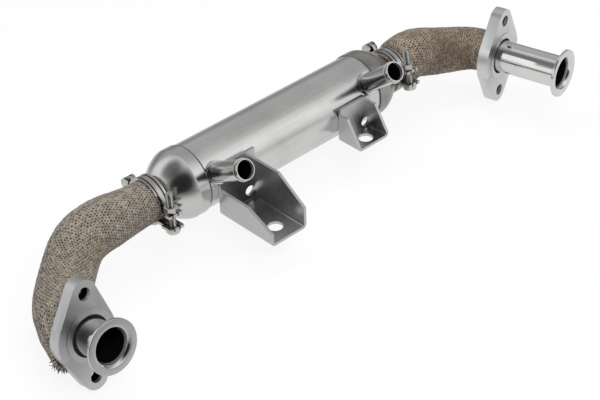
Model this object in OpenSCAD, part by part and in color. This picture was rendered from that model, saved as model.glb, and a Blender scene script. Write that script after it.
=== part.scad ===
// Exhaust gas recirculation cooler with two flexible gas pipes.
// A shell holds a bundle of gas tubes between two domed end cones. Each cone
// carries a corrugated pipe in a knitted heat sleeve, which ends in a two-bolt
// flange with a lipped gas stub. The shell axis runs along X, and the brackets
// and both gas ends face -Y. The origin is the bolt hole of the front bracket,
// on the underside of its base.

/* [Shell] */
// Outer diameter of the shell
shell_d = 57; // [52:0.5:62]
// Sheet thickness of the shell
shell_wall = 1.5; // [1:0.1:2]
// Length of shell that shows between the two end cones
shell_len = 190; // [170:1:230]

/* [End cones] */
// Sheet thickness of the end cones
cone_wall = 1; // [0.8:0.1:1.5]
// Length of the straight skirt that slips over the shell
skirt_len = 9; // [7:0.5:14]
// Length of the domed part
dome_len = 22; // [14:0.5:28]
// Fullness of the dome, from 1 for a straight cone to 2 for an ellipse
dome_fullness = 1.4; // [1.2:0.05:2]
// Room between the end of the shell and the start of the dome
shell_end_gap = 2; // [1:0.5:3]

/* [Tube bundle] */
// Outer diameter of a gas tube
tube_d = 8; // [6:0.25:8.5]
// Wall of a gas tube
tube_wall = 0.5; // [0.3:0.1:1]
// Rings of tubes around the middle tube
tube_rings = 2; // [1:1:2]
// Metal left between the outer tubes and the edge of a tube plate
bundle_edge = 2; // [1.5:0.25:4]
// Thickness of the tube plates
plate_t = 3; // [2:0.5:5]
// Thickness of the baffles
baffle_t = 1.5; // [1:0.1:3]
// Number of baffles
baffle_count = 3; // [1:1:5]

/* [Coolant stubs] */
// Outer diameter of a coolant stub
stub_d = 17; // [14:0.5:19]
// Wall of a coolant stub
stub_wall = 0.9; // [0.8:0.05:2]
// Length of a coolant stub outside the shell
stub_len = 41; // [30:0.5:55]
// Height of the hose bead
bead_h = 0.9; // [0.6:0.1:1.2]
// Distance from the tip to the middle of the bead
bead_back = 3.5; // [2:0.5:8]
// Width of the collar at the foot of a stub
collar_w = 1; // [0.8:0.1:3]
// Height of the collar above the shell
collar_h = 3; // [1.5:0.25:6]
// Room between a collar and the edge of the cone skirt
collar_room = 0.4; // [0.3:0.1:6]
// Upward tilt of the front coolant stub
front_stub_tilt = 29; // [15:1:45]
// Upward tilt of the rear coolant stub
rear_stub_tilt = 38; // [15:1:45]

/* [Brackets] */
// Sheet thickness of the brackets
sheet = 2.5; // [1.5:0.25:3]
// Inner radius of the folds
fold_r = 1.5; // [0.5:0.25:3]
// Diameter of the bolt hole in each base
bracket_hole_d = 12.5; // [8:0.25:14]
// Diameter of the two drain holes in each back plate
drain_d = 9; // [4:0.5:10]
// Distance between the two drain holes
drain_spacing = 23; // [16:0.5:25]
// Height of the front drain holes above the underside of the base
front_drain_h = 10; // [8:0.5:14]
// Height of the rear drain holes above the underside of the base
rear_drain_h = 8; // [7.5:0.5:14]
// Room around a stub collar where it passes a back plate
notch_room = 1; // [0.5:0.25:3]

/* [Front bracket] */
// Distance from the front seam to the bracket
front_bracket_x = 8.3; // [2:0.1:30]
// Width along the shell
front_bracket_w = 37; // [34:0.5:50]
// Reach forward of the shell
front_bracket_reach = 60; // [54:0.5:80]
// Depth of the underside below the shell axis
front_bracket_drop = 25.2; // [20:0.1:32]
// Height of the back plate
front_plate_h = 48; // [42:0.5:52]
// Distance from the back plate to the bolt hole
front_hole_reach = 44; // [32:0.5:46]
// Height of the tall wall
front_tall_h = 38.7; // [30:0.1:42]
// Length of the level top of the tall wall
front_tall_flat = 31.5; // [20:0.5:45]
// Height of the tall wall at its front
front_tall_tip = 19.3; // [8:0.1:28]
// Height of the low wall
front_low_h = 24.3; // [18:0.1:28]
// Length of the level top of the low wall
front_low_flat = 33; // [20:0.5:45]
// Height of the low wall at its front
front_low_tip = 12.3; // [6:0.1:18]

/* [Rear bracket] */
// Distance from the bracket to the rear seam
rear_bracket_x = 14.7; // [6:0.1:30]
// Width along the shell
rear_bracket_w = 35; // [34:0.5:50]
// Reach forward of the shell
rear_bracket_reach = 23.5; // [22:0.5:40]
// Depth of the underside below the shell axis
rear_bracket_drop = 19.3; // [16:0.1:28]
// Height of the back plate
rear_plate_h = 32.4; // [28:0.1:44]
// Distance from the back plate to the bolt hole
rear_hole_reach = 14; // [12:0.25:15]
// Height of both walls
rear_wall_h = 26.3; // [16:0.1:28]
// Length of the level top of both walls
rear_wall_flat = 9.5; // [4:0.5:14]
// Height of both walls at their front
rear_wall_tip = 4.5; // [4.5:0.1:12]

/* [Gas way] */
// Outer diameter of the necks and gas stubs
gas_d = 28; // [25:0.5:30]
// Wall of the necks and gas stubs
gas_wall = 1; // [0.8:0.1:1.5]
// Outer diameter of the lip on a gas stub
lip_d = 42; // [38:0.5:48]
// Thickness of the lip at its rim
lip_t = 2.4; // [1.5:0.1:4]
// Length of the cone behind the lip
lip_cone = 3.2; // [1:0.1:6]
// Radius of the rounded mouth of a gas stub
mouth = 4; // [0.5:0.1:5]
// Length of the front gas stub outside its flange
front_gas_len = 26; // [16:0.5:80]
// Length of the rear gas stub outside its flange
rear_gas_len = 60; // [16:0.5:90]

/* [Flanges] */
// Distance between the two bolt holes
flange_spacing = 66; // [60:0.5:76]
// Diameter of the bolt holes
flange_hole_d = 10; // [6.5:0.25:11]
// Radius of the two ends
flange_end_r = 10.5; // [9:0.25:14]
// Radius of the middle of the front flange on its left side
front_left_r = 27.5; // [24:0.25:30]
// Radius of the middle of the front flange on its right side
front_right_r = 22.5; // [22:0.25:30]
// Radius of the middle of the rear flange on its left side
rear_left_r = 27.5; // [24:0.25:30]
// Radius of the middle of the rear flange on its right side
rear_right_r = 28; // [24:0.25:30]
// Thickness of the plate
flange_t = 10; // [6:0.25:12]
// Diameter of the raised pad
pad_d = 41; // [38:0.5:43]
// Height of the raised pad
pad_h = 0.5; // [0.2:0.1:1.5]
// Width of the weld groove around a gas stub
groove = 2; // [0.5:0.1:3]
// Depth of the weld groove
groove_depth = 4; // [1:0.25:5]

/* [Front pipe] */
// Distance of the front flange ahead of the front seam
front_out = 166; // [150:1:200]
// Distance of the front flange face forward of the shell axis
front_reach = 91; // [80:1:120]
// Depth of the front flange centre below the shell axis
front_drop = 5; // [-10:0.5:30]
// Sideways turn of the front flange
front_turn = 2; // [-15:1:20]
// Upward tilt of the front flange
front_tilt = 10; // [-10:1:20]
// Roll of the front flange about its own axis
front_roll = 6; // [-15:1:15]
// How far the front pipe keeps straight as it leaves the neck
front_leave = 86; // [40:1:100]
// How far the front pipe straightens before its flange
front_arrive = 68; // [25:1:80]
// Rise of the front pipe in its first half
front_lift = 6; // [0:0.5:20]
// Sag of the front pipe in its second half
front_sag = 1; // [0:0.5:15]
// Sideways bow of the front pipe in its second half
front_bow = 20; // [0:0.5:24]
// Outer diameter of the front sleeve between its ends
front_sleeve_d = 41.5; // [38:0.5:44]
// Length over which the front sleeve widens past its clamp
front_swell = 45; // [8:1:60]
// Outer diameter of the front sleeve at its flange
front_sleeve_end_d = 48.5; // [47:0.5:50]
// How far the loose end of the front sleeve hangs off the pipe
front_slack = 6; // [0:0.25:6]
// Length over which the front sleeve takes the shape of its end
front_taper = 26; // [20:1:40]

/* [Rear pipe] */
// Distance of the rear flange beyond the rear seam
rear_out = 126; // [115:1:160]
// Distance of the rear flange face forward of the shell axis
rear_reach = 55; // [50:1:90]
// Depth of the rear flange centre below the shell axis
rear_drop = 1; // [-10:0.5:20]
// Sideways turn of the rear flange
rear_turn = 12; // [-5:1:25]
// Upward tilt of the rear flange
rear_tilt = 1; // [-10:1:15]
// Roll of the rear flange about its own axis
rear_roll = 6; // [-15:1:15]
// How far the rear pipe keeps straight as it leaves the neck
rear_leave = 27; // [25:1:55]
// How far the rear pipe straightens before its flange
rear_arrive = 49; // [15:1:60]
// Rise of the rear pipe in its first half
rear_lift = 4.5; // [0:0.5:12]
// Sag of the rear pipe in its second half
rear_sag = 5.5; // [0:0.5:12]
// Sideways bow of the rear pipe in its second half
rear_bow = -5.5; // [-10:0.5:10]
// Outer diameter of the rear sleeve between its ends
rear_sleeve_d = 42; // [38:0.5:44]
// Length over which the rear sleeve widens past its clamp
rear_swell = 8; // [6:1:40]
// Outer diameter of the rear sleeve at its flange
rear_sleeve_end_d = 35.5; // [35:0.5:40]
// How far the loose end of the rear sleeve hangs off the pipe
rear_slack = 0.2; // [0:0.1:0.4]
// Length over which the rear sleeve takes the shape of its end
rear_taper = 70; // [20:1:80]

/* [Sleeves and bellows] */
// Thickness of the knit
sleeve_wall = 2; // [1.2:0.1:2.2]
// Length of one row of stitches
stitch_len = 2; // [1.8:0.1:3]
// Height of the stitches
stitch_h = 0.6; // [0.2:0.1:1]
// Room between a sleeve and its flange
sleeve_room = 0.5; // [0.3:0.1:2]
// Length of one corrugation of the bellows
bellows_pitch = 6; // [5:0.25:10]
// Wall of the bellows
bellows_wall = 0.5; // [0.3:0.1:0.8]
// Room between the bellows and its sleeve
bellows_room = 1; // [0.8:0.1:1.5]
// Wall of the cuffs
cuff_wall = 1; // [0.6:0.1:1.5]
// Length of the cuff behind a flange
cuff_len = 11; // [8:0.5:16]

/* [Clamps] */
// Width of a clamp band
clamp_w = 9.5; // [8:0.5:16]
// Thickness of a clamp band
band_t = 2; // [1.5:0.1:3]
// Room between a clamp and the dome
clamp_room = 2; // [1:0.25:6]
// Length of neck past the clamp
neck_past = 1.5; // [0.5:0.25:5]
// Thickness of the bolt ears
ear_t = 2.5; // [2:0.1:4]
// Width of the bolt ears
ear_w = 13; // [11:0.5:16]
// Gap between the two ears
ear_gap = 10; // [4:0.5:12]
// Diameter of the clamp bolt
bolt_d = 6; // [5:0.5:6]
// Width across the flats of the bolt head and nut
hex_w = 10; // [9:0.5:11]
// Height of the bolt head
head_h = 4; // [3:0.25:5]
// Height of the nut
nut_h = 5; // [4:0.25:7]
// Length of thread above the nut
thread_out = 12; // [2:0.5:16]
// Diameter of the hinge knuckles
knuckle_d = 9.5; // [7:0.1:11]
// Diameter of the hinge pin
pin_d = 4; // [3:0.1:5]
// Roll of the front clamp about the shell axis
front_clamp_roll = -3; // [-20:1:20]
// Depth of the middle of the front ears below the middle of the clamp
front_ear_drop = 7; // [0:0.5:9]
// Angle of the front hinge above the far side
front_hinge = 14; // [5:1:70]
// Roll of the rear clamp about the shell axis
rear_clamp_roll = -10; // [-20:1:20]
// Depth of the middle of the rear ears below the middle of the clamp
rear_ear_drop = 0; // [0:0.5:9]
// Angle of the rear hinge above the far side
rear_hinge = 42; // [5:1:70]

/* [Fits] */
// Gap at each brazed, welded or clamped seat
seat_gap = 0.1; // [0.05:0.05:0.15]
// Clearance of the bolts and hinge pins in their holes
bolt_room = 0.3; // [0.1:0.05:0.4]

/* [Hidden] */
$fn = 64;
steel = [0.72, 0.72, 0.71];
bright_steel = [0.80, 0.80, 0.80];
plate_steel = [0.66, 0.67, 0.68];
zinc = [0.60, 0.60, 0.58];
inner_steel = [0.55, 0.54, 0.52];
knit = [0.58, 0.51, 0.43];
overcut = 1;
sleeve_sides = 24;
bellows_sides = 16;
inner_rows = 2;
curve_checks = 20;
dome_steps = 12;
mouth_steps = 6;
slack_angle = -50;

shell_r = shell_d / 2;
shell_in = shell_r - shell_wall;
shell_lap = skirt_len - shell_end_gap;
plate_r = shell_in - seat_gap;
gas_r = gas_d / 2;
gas_in = gas_r - gas_wall;
skirt_in = shell_r + seat_gap;
cone_end = skirt_len + dome_len;
neck_end = cone_end + clamp_room + clamp_w + neck_past;
clamp_mid = cone_end + clamp_room + clamp_w / 2;
cuff_start = cone_end + clamp_room / 2;
cuff_in = gas_r + seat_gap;
cuff_r = cuff_in + cuff_wall;
sleeve_neck_in = (cuff_r + seat_gap) / cos(180 / sleeve_sides);
band_in = sleeve_neck_in + sleeve_wall + stitch_h + seat_gap;
band_r = band_in + band_t;
bolt_out = band_r + hex_w / sqrt(3) + bolt_room;
knuckle_out = band_r + knuckle_d / 2 + seat_gap;
stub_r = stub_d / 2;
stub_in = stub_r - stub_wall;
stub_foot = sqrt(shell_in * shell_in - stub_r * stub_r);
collar_r = stub_r + seat_gap + collar_w;
front_stub_x = collar_r + collar_room;
rear_stub_x = shell_len - front_stub_x;
back_y = -(shell_r + seat_gap);
fold_out = fold_r + sheet;
datum = [front_bracket_x + front_bracket_w / 2, back_y - front_hole_reach, -front_bracket_drop];

// Middles of the gas tubes in the cross-section, ring by ring
tube_pitch = (plate_r - bundle_edge - tube_d / 2) / tube_rings;
tube_mids = concat([[0, 0]], [
    for (ring = [1:tube_rings]) for (side = [0:5]) for (step = [0:ring - 1])
        tube_pitch * (ring * turned(60 * side) + step * turned(60 * side + 120))
]);
tube_count = len(tube_mids);
baffle_window = (tube_rings - 0.5) * tube_pitch * sin(60);

function turned(angle) = [cos(angle), sin(angle)];
function unit(v) = v / norm(v);
function smooth(t) = t <= 0 ? 0 : t >= 1 ? 1 : t * t * (3 - 2 * t);

// A flange face: its centre, turn, tilt, roll, the length of its gas stub and its two middle radii
front_face = [
    [-front_out, -front_reach, -front_drop], front_turn, front_tilt, front_roll,
    front_gas_len, front_left_r, front_right_r
];
rear_face = [
    [shell_len + rear_out, -rear_reach, -rear_drop], rear_turn, rear_tilt, rear_roll,
    rear_gas_len, rear_left_r, rear_right_r
];
function facing(face) = [
    sin(face[1]) * cos(face[2]),
    -cos(face[1]) * cos(face[2]),
    sin(face[2])
];
function behind(face, d) = face[0] - d * facing(face);

// A pipe: where it leaves the neck, its heading there, its flange face, its two bend lengths,
// its rise, its sag and bow, and the middle diameter, end diameter, slack, swell and taper of its sleeve
front_pipe = [
    [-neck_end - seat_gap, 0, 0], [-1, 0, 0], front_face, front_leave, front_arrive,
    [0, 0, front_lift], [front_bow, 0, -front_sag],
    front_sleeve_d, front_sleeve_end_d, front_slack, front_swell, front_taper
];
rear_pipe = [
    [shell_len + neck_end + seat_gap, 0, 0], [1, 0, 0], rear_face, rear_leave, rear_arrive,
    [0, 0, rear_lift], [rear_bow, 0, -rear_sag],
    rear_sleeve_d, rear_sleeve_end_d, rear_slack, rear_swell, rear_taper
];

// The bend of a pipe is a cubic curve from the neck to the cuff of its flange,
// lifted in its first half and pulled aside in its second
function bend_end(pipe) = behind(pipe[2], flange_t + cuff_len + seat_gap);
function bend_poles(pipe) = [
    pipe[0],
    pipe[0] + pipe[3] * pipe[1],
    bend_end(pipe) - pipe[4] * facing(pipe[2]),
    bend_end(pipe),
    pipe[5],
    pipe[6]
];
hump_at = 0.4;
hump_top = pow(hump_at, 2) * pow(1 - hump_at, 3);
function hump(t) = pow(t, 2) * pow(1 - t, 3) / hump_top;
function hump_rate(t) = t * pow(1 - t, 2) * (2 - 5 * t) / hump_top;
function bend_point(p, t) = pow(1 - t, 3) * p[0] + 3 * pow(1 - t, 2) * t * p[1]
    + 3 * (1 - t) * t * t * p[2] + pow(t, 3) * p[3]
    + hump(t) * p[4] + hump(1 - t) * p[5];
function bend_heading(p, t) = unit(3 * pow(1 - t, 2) * (p[1] - p[0])
    + 6 * (1 - t) * t * (p[2] - p[1]) + 3 * t * t * (p[3] - p[2])
    + hump_rate(t) * p[4] - hump_rate(1 - t) * p[5]);
function bend_len(p) = sum([
    for (i = [1:curve_checks])
        norm(bend_point(p, i / curve_checks) - bend_point(p, (i - 1) / curve_checks))
]);
function sum(list, i = 0) = i < len(list) ? list[i] + sum(list, i + 1) : 0;

// Stations along a pipe, each a point and a heading
function line_stations(from, to, count) = [
    for (i = [0:count - 1]) [from + (to - from) * i / count, unit(to - from)]
];
function bend_stations(p, count) = [
    for (i = [0:count]) [bend_point(p, i / count), bend_heading(p, i / count)]
];
function sleeve_stations(pipe, step) = let (
    p = bend_poles(pipe),
    held = neck_end + seat_gap - cuff_start,
    start = pipe[0] - held * pipe[1],
    end = behind(pipe[2], flange_t + sleeve_room),
    tail = line_stations(p[3], end, ceil(norm(end - p[3]) / step))
) concat(
    line_stations(start, p[0], ceil(held / step)),
    bend_stations(p, ceil(bend_len(p) / step)),
    [for (i = [1:len(tail) - 1]) tail[i]],
    [[end, facing(pipe[2])]]
);
function bellows_stations(pipe) = let (p = bend_poles(pipe))
    bend_stations(p, 2 * ceil(bend_len(p) / bellows_pitch));

// Distance along the stations, and the inner radius of the sleeve there
function distances(s) = [
    for (i = 0, d = 0; i < len(s); d = d + (i + 1 < len(s) ? norm(s[i + 1][0] - s[i][0]) : 0), i = i + 1) d
];
function sleeve_in(pipe, from_neck, to_flange) = let (
    middle = pipe[7] / 2 - sleeve_wall,
    end = pipe[8] / 2 - sleeve_wall
) sleeve_neck_in + (middle - sleeve_neck_in) * smooth(from_neck / pipe[10])
    + (end - middle) * smooth(1 - to_flange / pipe[11]);

// How far the loose end of a sleeve hangs off the pipe, and the crest radius of the bellows inside it
function hang(pipe, to_flange) = pipe[9] * smooth(1 - to_flange / pipe[11]);
function bellows_crest(pipe, from_neck, to_flange) = max(gas_r, -bellows_room + min(
    pipe[7] / 2 - sleeve_wall,
    sleeve_in(pipe, from_neck, to_flange) - hang(pipe, to_flange)
));

// A ring of points round a station, with every other point raised and the ring moved outwards
function ring(station, r, sides, raised = 0, odd = 0, moved = 0) = let (
    side = unit(cross(station[1], [0, 0, 1])),
    up = cross(side, station[1]),
    middle = station[0] + moved * (cos(slack_angle) * side + sin(slack_angle) * up)
) [
    for (k = [0:sides - 1]) let (a = 360 * k / sides)
        middle + (r + ((k + odd) % 2) * raised) * (cos(a) * side + sin(a) * up)
];

// A closed pipe from its outer rings and its inner rings
module ring_pipe(outer, inner) {
    sides = len(outer[0]);
    n = len(outer);
    m = len(inner);
    base = n * sides;
    points = concat([for (r = outer) each r], [for (r = inner) each r]);
    function at(row, k) = row * sides + k % sides;
    skin = [
        for (i = [0:n - 2]) for (k = [0:sides - 1])
            each [[at(i, k), at(i, k + 1), at(i + 1, k)], [at(i, k + 1), at(i + 1, k + 1), at(i + 1, k)]]
    ];
    lining = [
        for (i = [0:m - 2]) for (k = [0:sides - 1]) each [
            [base + at(i, k), base + at(i + 1, k), base + at(i, k + 1)],
            [base + at(i, k + 1), base + at(i + 1, k), base + at(i + 1, k + 1)]
        ]
    ];
    ends = [
        for (k = [0:sides - 1]) each [
            [at(0, k), base + at(0, k), at(0, k + 1)],
            [at(0, k + 1), base + at(0, k), base + at(0, k + 1)],
            [at(n - 1, k), at(n - 1, k + 1), base + at(m - 1, k)],
            [at(n - 1, k + 1), base + at(m - 1, k + 1), base + at(m - 1, k)]
        ]
    ];
    polyhedron(points, concat(skin, lining, ends), convexity = 6);
}

// Children along +X from a place on the shell axis, with their own X to +Y and their own Y to +Z
module along_x(x) {
    translate([x, 0, 0]) rotate([90, 0, 90]) children();
}

module mirrored_to_rear() {
    translate([shell_len, 0, 0]) mirror([1, 0, 0]) children();
}

// Children with their own Z along a coolant stub
module at_stub(x, tilt) {
    translate([x, 0, 0]) rotate([90 - tilt, 0, 0]) children();
}

// Children with their own Z out of a flange face and their own Y along its bolt holes
module at_face(face) {
    translate(face[0]) rotate([90 - face[2], 0, face[1]]) rotate([0, 0, -face[3]]) children();
}

module tube(r, wall, len) {
    difference() {
        cylinder(r = r, h = len);
        translate([0, 0, -overcut]) cylinder(r = r - wall, h = len + 2 * overcut);
    }
}

module cooler_shell() {
    color(steel) difference() {
        along_x(-shell_lap) tube(shell_r, shell_wall, shell_len + 2 * shell_lap);
        at_stub(front_stub_x, front_stub_tilt) cylinder(r = stub_r + seat_gap, h = shell_d);
        at_stub(rear_stub_x, rear_stub_tilt) cylinder(r = stub_r + seat_gap, h = shell_d);
    }
}

// Half section of a dome from the skirt to the neck, at one offset inside its outer face
function dome_points(inset) = [
    for (i = [0:dome_steps]) let (a = 90 * i / dome_steps) [
        gas_r - inset + (skirt_in + cone_wall - gas_r) * pow(cos(a), 2 / dome_fullness),
        skirt_len + (dome_len - inset) * pow(sin(a), 2 / dome_fullness)
    ]
];
function backwards(list) = [for (i = [len(list) - 1:-1:0]) list[i]];

module end_cone() {
    color(steel) rotate([0, -90, 0]) rotate_extrude() polygon(concat(
        [[skirt_in + cone_wall, 0]],
        dome_points(0),
        [[gas_r, neck_end], [gas_in, neck_end]],
        backwards(dome_points(cone_wall)),
        [[skirt_in, 0]]
    ));
}

module front_end_cone() {
    end_cone();
}

module rear_end_cone() {
    mirrored_to_rear() end_cone();
}

module tube_holes(len) {
    for (mid = tube_mids)
        translate([mid[0], mid[1], -overcut]) cylinder(r = tube_d / 2 + seat_gap, h = len + 2 * overcut);
}

module tube_plate() {
    color(inner_steel) difference() {
        cylinder(r = plate_r, h = plate_t);
        tube_holes(plate_t);
    }
}

module front_tube_plate() {
    along_x(-shell_lap) tube_plate();
}

module rear_tube_plate() {
    along_x(shell_len + shell_lap - plate_t) tube_plate();
}

module gas_tube(i) {
    color(inner_steel) along_x(-shell_lap) translate([tube_mids[i - 1][0], tube_mids[i - 1][1], 0])
        tube(tube_d / 2, tube_wall, shell_len + 2 * shell_lap);
}

// Baffles leave a window for the coolant at the top and at the bottom in turn
module baffle(i) {
    color(inner_steel) along_x(shell_len * i / (baffle_count + 1) - baffle_t / 2) difference() {
        cylinder(r = plate_r, h = baffle_t);
        tube_holes(baffle_t);
        rotate([0, 0, 180 * (i % 2)])
            translate([-shell_d, baffle_window, -overcut])
                cube([2 * shell_d, shell_d, baffle_t + 2 * overcut]);
    }
}

module coolant_stub(x, tilt) {
    tip = shell_r + stub_len;
    color(bright_steel) at_stub(x, tilt) difference() {
        union() {
            translate([0, 0, stub_foot]) cylinder(r = stub_r, h = tip - stub_foot);
            translate([0, 0, tip - bead_back]) rotate_extrude() translate([stub_r, 0]) circle(r = bead_h);
        }
        translate([0, 0, stub_foot - overcut]) cylinder(r = stub_in, h = tip - stub_foot + 2 * overcut);
    }
}

module front_coolant_stub() {
    coolant_stub(front_stub_x, front_stub_tilt);
}

module rear_coolant_stub() {
    coolant_stub(rear_stub_x, rear_stub_tilt);
}

module stub_collar(x, tilt) {
    color(bright_steel) difference() {
        at_stub(x, tilt) difference() {
            cylinder(r = collar_r, h = shell_r + collar_h);
            cylinder(r = stub_r + seat_gap, h = shell_d);
        }
        along_x(x - shell_d) cylinder(r = shell_r + seat_gap, h = 2 * shell_d);
    }
}

module front_stub_collar() {
    stub_collar(front_stub_x, front_stub_tilt);
}

module rear_stub_collar() {
    stub_collar(rear_stub_x, rear_stub_tilt);
}

// Block with rounded folds along its two bottom sides and its bottom back edge
module folded_block(w, reach, h, r) {
    intersection() {
        rotate([90, 0, 0]) linear_extrude(reach) {
            translate([r, 0]) square([w - 2 * r, h]);
            translate([0, r]) square([w, h - r]);
            translate([r, r]) circle(r);
            translate([w - r, r]) circle(r);
        }
        rotate([90, 0, 90]) linear_extrude(w) {
            translate([-reach, 0]) square([reach - r, h]);
            translate([-reach, r]) square([reach, h - r]);
            translate([-r, r]) circle(r);
        }
    }
}

// Space above one side wall of a bracket
module wall_cut(x, reach, top, wall) {
    translate([x - overcut, 0, 0]) rotate([90, 0, 90]) linear_extrude(fold_out + 2 * overcut) polygon([
        [-sheet, wall[0]],
        [-wall[1], wall[0]],
        [-reach, wall[2]],
        [-reach - overcut, wall[2]],
        [-reach - overcut, top + overcut],
        [-sheet, top + overcut]
    ]);
}

// Tray bracket with its back plate on Y = 0 and its underside on Z = 0.
// A wall is its height, the length of its level top and its height at the front.
module tray(w, reach, top, low_x_wall, high_x_wall, hole_reach, drain_h) {
    color(plate_steel) difference() {
        folded_block(w, reach, top, fold_out);
        translate([sheet, -sheet, sheet]) folded_block(w - 2 * sheet, reach, top, fold_r);
        wall_cut(0, reach, top, low_x_wall);
        wall_cut(w - fold_out, reach, top, high_x_wall);
        translate([w / 2, -hole_reach, -overcut]) cylinder(d = bracket_hole_d, h = sheet + 2 * overcut);
        for (side = [-1, 1])
            translate([w / 2 + side * drain_spacing / 2, overcut, drain_h])
                rotate([90, 0, 0]) cylinder(d = drain_d, h = sheet + 2 * overcut);
    }
}

module front_bracket() {
    difference() {
        translate([front_bracket_x, back_y, -front_bracket_drop]) tray(
            front_bracket_w, front_bracket_reach, front_plate_h,
            [front_low_h, front_low_flat, front_low_tip],
            [front_tall_h, front_tall_flat, front_tall_tip],
            front_hole_reach, front_drain_h
        );
        at_stub(front_stub_x, front_stub_tilt) cylinder(r = collar_r + notch_room, h = shell_r + stub_len);
    }
}

module rear_bracket() {
    wall = [rear_wall_h, rear_wall_flat, rear_wall_tip];
    difference() {
        translate([shell_len - rear_bracket_x - rear_bracket_w, back_y, -rear_bracket_drop])
            tray(
                rear_bracket_w, rear_bracket_reach, rear_plate_h, wall, wall,
                rear_hole_reach, rear_drain_h
            );
        at_stub(rear_stub_x, rear_stub_tilt) cylinder(r = collar_r + notch_room, h = shell_r + stub_len);
    }
}

// A clamp: its place along the shell axis, its roll, the depth of its ears and its hinge angle
front_clamp = [-clamp_mid, front_clamp_roll, front_ear_drop, front_hinge];
rear_clamp = [shell_len + clamp_mid, rear_clamp_roll, rear_ear_drop, rear_hinge];
CLAMP_PIECES = ["upper_band", "lower_band", "hinge_pin", "bolt", "nut"];
hinge_room = 2;
leaf_angle = 15;
ear_reach = bolt_out + hex_w / sqrt(3);
middle_w = clamp_w / 3 - 2 * seat_gap;
side_w = clamp_w / 3 - seat_gap;
side_z = (clamp_w - side_w) / 2;
function split_angle(clamp) = 180 + asin(clamp[2] / band_r);

// Part of a ring round the clamp, between two angles
module arc(from, to, r, t, z, w) {
    rotate_extrude(start = from, angle = to - from) translate([r, z - w / 2]) square([t, w]);
}

// One knuckle and the leaf that joins it to its band
module knuckle(clamp, side, z, w) {
    near = clamp[3] + side * hinge_room / 2;
    far = clamp[3] + side * leaf_angle;
    arc(min(near, far), max(near, far), band_r - band_t / 2, (band_t + knuckle_d) / 2, z, w);
    rotate([0, 0, clamp[3]]) translate([knuckle_out, 0, z - w / 2]) cylinder(d = knuckle_d, h = w);
}

// One ear on the given side of the gap, wider outside the band
module ear(clamp, side) {
    bottom = side > 0 ? ear_gap / 2 : -ear_gap / 2 - ear_t;
    translate([0, bottom + ear_t - clamp[2], 0]) rotate([90, 0, 0]) linear_extrude(ear_t) polygon([
        [-ear_reach, -ear_w / 2],
        [-band_r, -ear_w / 2],
        [-band_r, -clamp_w / 2],
        [0, -clamp_w / 2],
        [0, clamp_w / 2],
        [-band_r, clamp_w / 2],
        [-band_r, ear_w / 2],
        [-ear_reach, ear_w / 2]
    ]);
}

// The bore, the gap, the bolt hole and the hinge hole of both half bands
module clamp_cuts(clamp) {
    translate([0, 0, -clamp_w]) cylinder(r = band_in, h = 2 * clamp_w);
    translate([-2 * ear_reach, -clamp[2] - ear_gap / 2, -ear_w]) cube([2 * ear_reach, ear_gap, 2 * ear_w]);
    translate([-bolt_out, -clamp[2], 0]) rotate([90, 0, 0])
        cylinder(d = bolt_d + 2 * bolt_room, h = 2 * (ear_gap + 2 * ear_t), center = true);
    rotate([0, 0, clamp[3]]) translate([knuckle_out, 0, -clamp_w])
        cylinder(d = pin_d + 2 * seat_gap, h = 2 * clamp_w);
}

module upper_band(clamp) {
    difference() {
        union() {
            arc(clamp[3] + hinge_room, split_angle(clamp), band_in, band_t, 0, clamp_w);
            knuckle(clamp, 1, 0, middle_w);
            ear(clamp, 1);
        }
        clamp_cuts(clamp);
    }
}

module lower_band(clamp) {
    difference() {
        union() {
            arc(split_angle(clamp), 360 + clamp[3] - hinge_room, band_in, band_t, 0, clamp_w);
            for (side = [-1, 1]) knuckle(clamp, -1, side * side_z, side_w);
            ear(clamp, -1);
        }
        clamp_cuts(clamp);
    }
}

module hinge_pin(clamp) {
    rotate([0, 0, clamp[3]]) translate([knuckle_out, 0, -clamp_w / 2]) cylinder(d = pin_d, h = clamp_w);
}

// Children with their own Z up along the clamp bolt, from the middle of the gap
module at_bolt(clamp) {
    translate([-bolt_out, -clamp[2], 0]) rotate([-90, 0, 0]) children();
}

module clamp_bolt(clamp) {
    under = ear_gap / 2 + ear_t;
    at_bolt(clamp) {
        translate([0, 0, -under - head_h]) cylinder(d = hex_w * 2 / sqrt(3), h = head_h, $fn = 6);
        translate([0, 0, -under - head_h / 2])
            cylinder(d = bolt_d, h = head_h / 2 + 2 * under + nut_h + thread_out);
    }
}

module clamp_nut(clamp) {
    at_bolt(clamp) translate([0, 0, ear_gap / 2 + ear_t]) difference() {
        cylinder(d = hex_w * 2 / sqrt(3), h = nut_h, $fn = 6);
        translate([0, 0, -overcut]) cylinder(d = bolt_d + 2 * seat_gap, h = nut_h + 2 * overcut);
    }
}

// One piece of a clamp, drawn with Z along the shell axis, the ears towards -X and the bolt along Y
module clamp_piece(clamp, piece) {
    color(zinc) along_x(clamp[0]) rotate([0, 0, clamp[1]]) {
        if (piece == "upper_band") upper_band(clamp);
        if (piece == "lower_band") lower_band(clamp);
        if (piece == "hinge_pin") hinge_pin(clamp);
        if (piece == "bolt") clamp_bolt(clamp);
        if (piece == "nut") clamp_nut(clamp);
    }
}

module neck_cuff() {
    color(inner_steel) translate([-cuff_start, 0, 0]) rotate([0, -90, 0])
        tube(cuff_r, cuff_wall, neck_end - cuff_start);
}

module front_neck_cuff() {
    neck_cuff();
}

module rear_neck_cuff() {
    mirrored_to_rear() neck_cuff();
}

module flange_cuff(face) {
    color(inner_steel) at_face(face) translate([0, 0, -flange_t - cuff_len])
        tube(cuff_r, cuff_wall, cuff_len - seat_gap);
}

module front_flange_cuff() {
    flange_cuff(front_face);
}

module rear_flange_cuff() {
    flange_cuff(rear_face);
}

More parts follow.
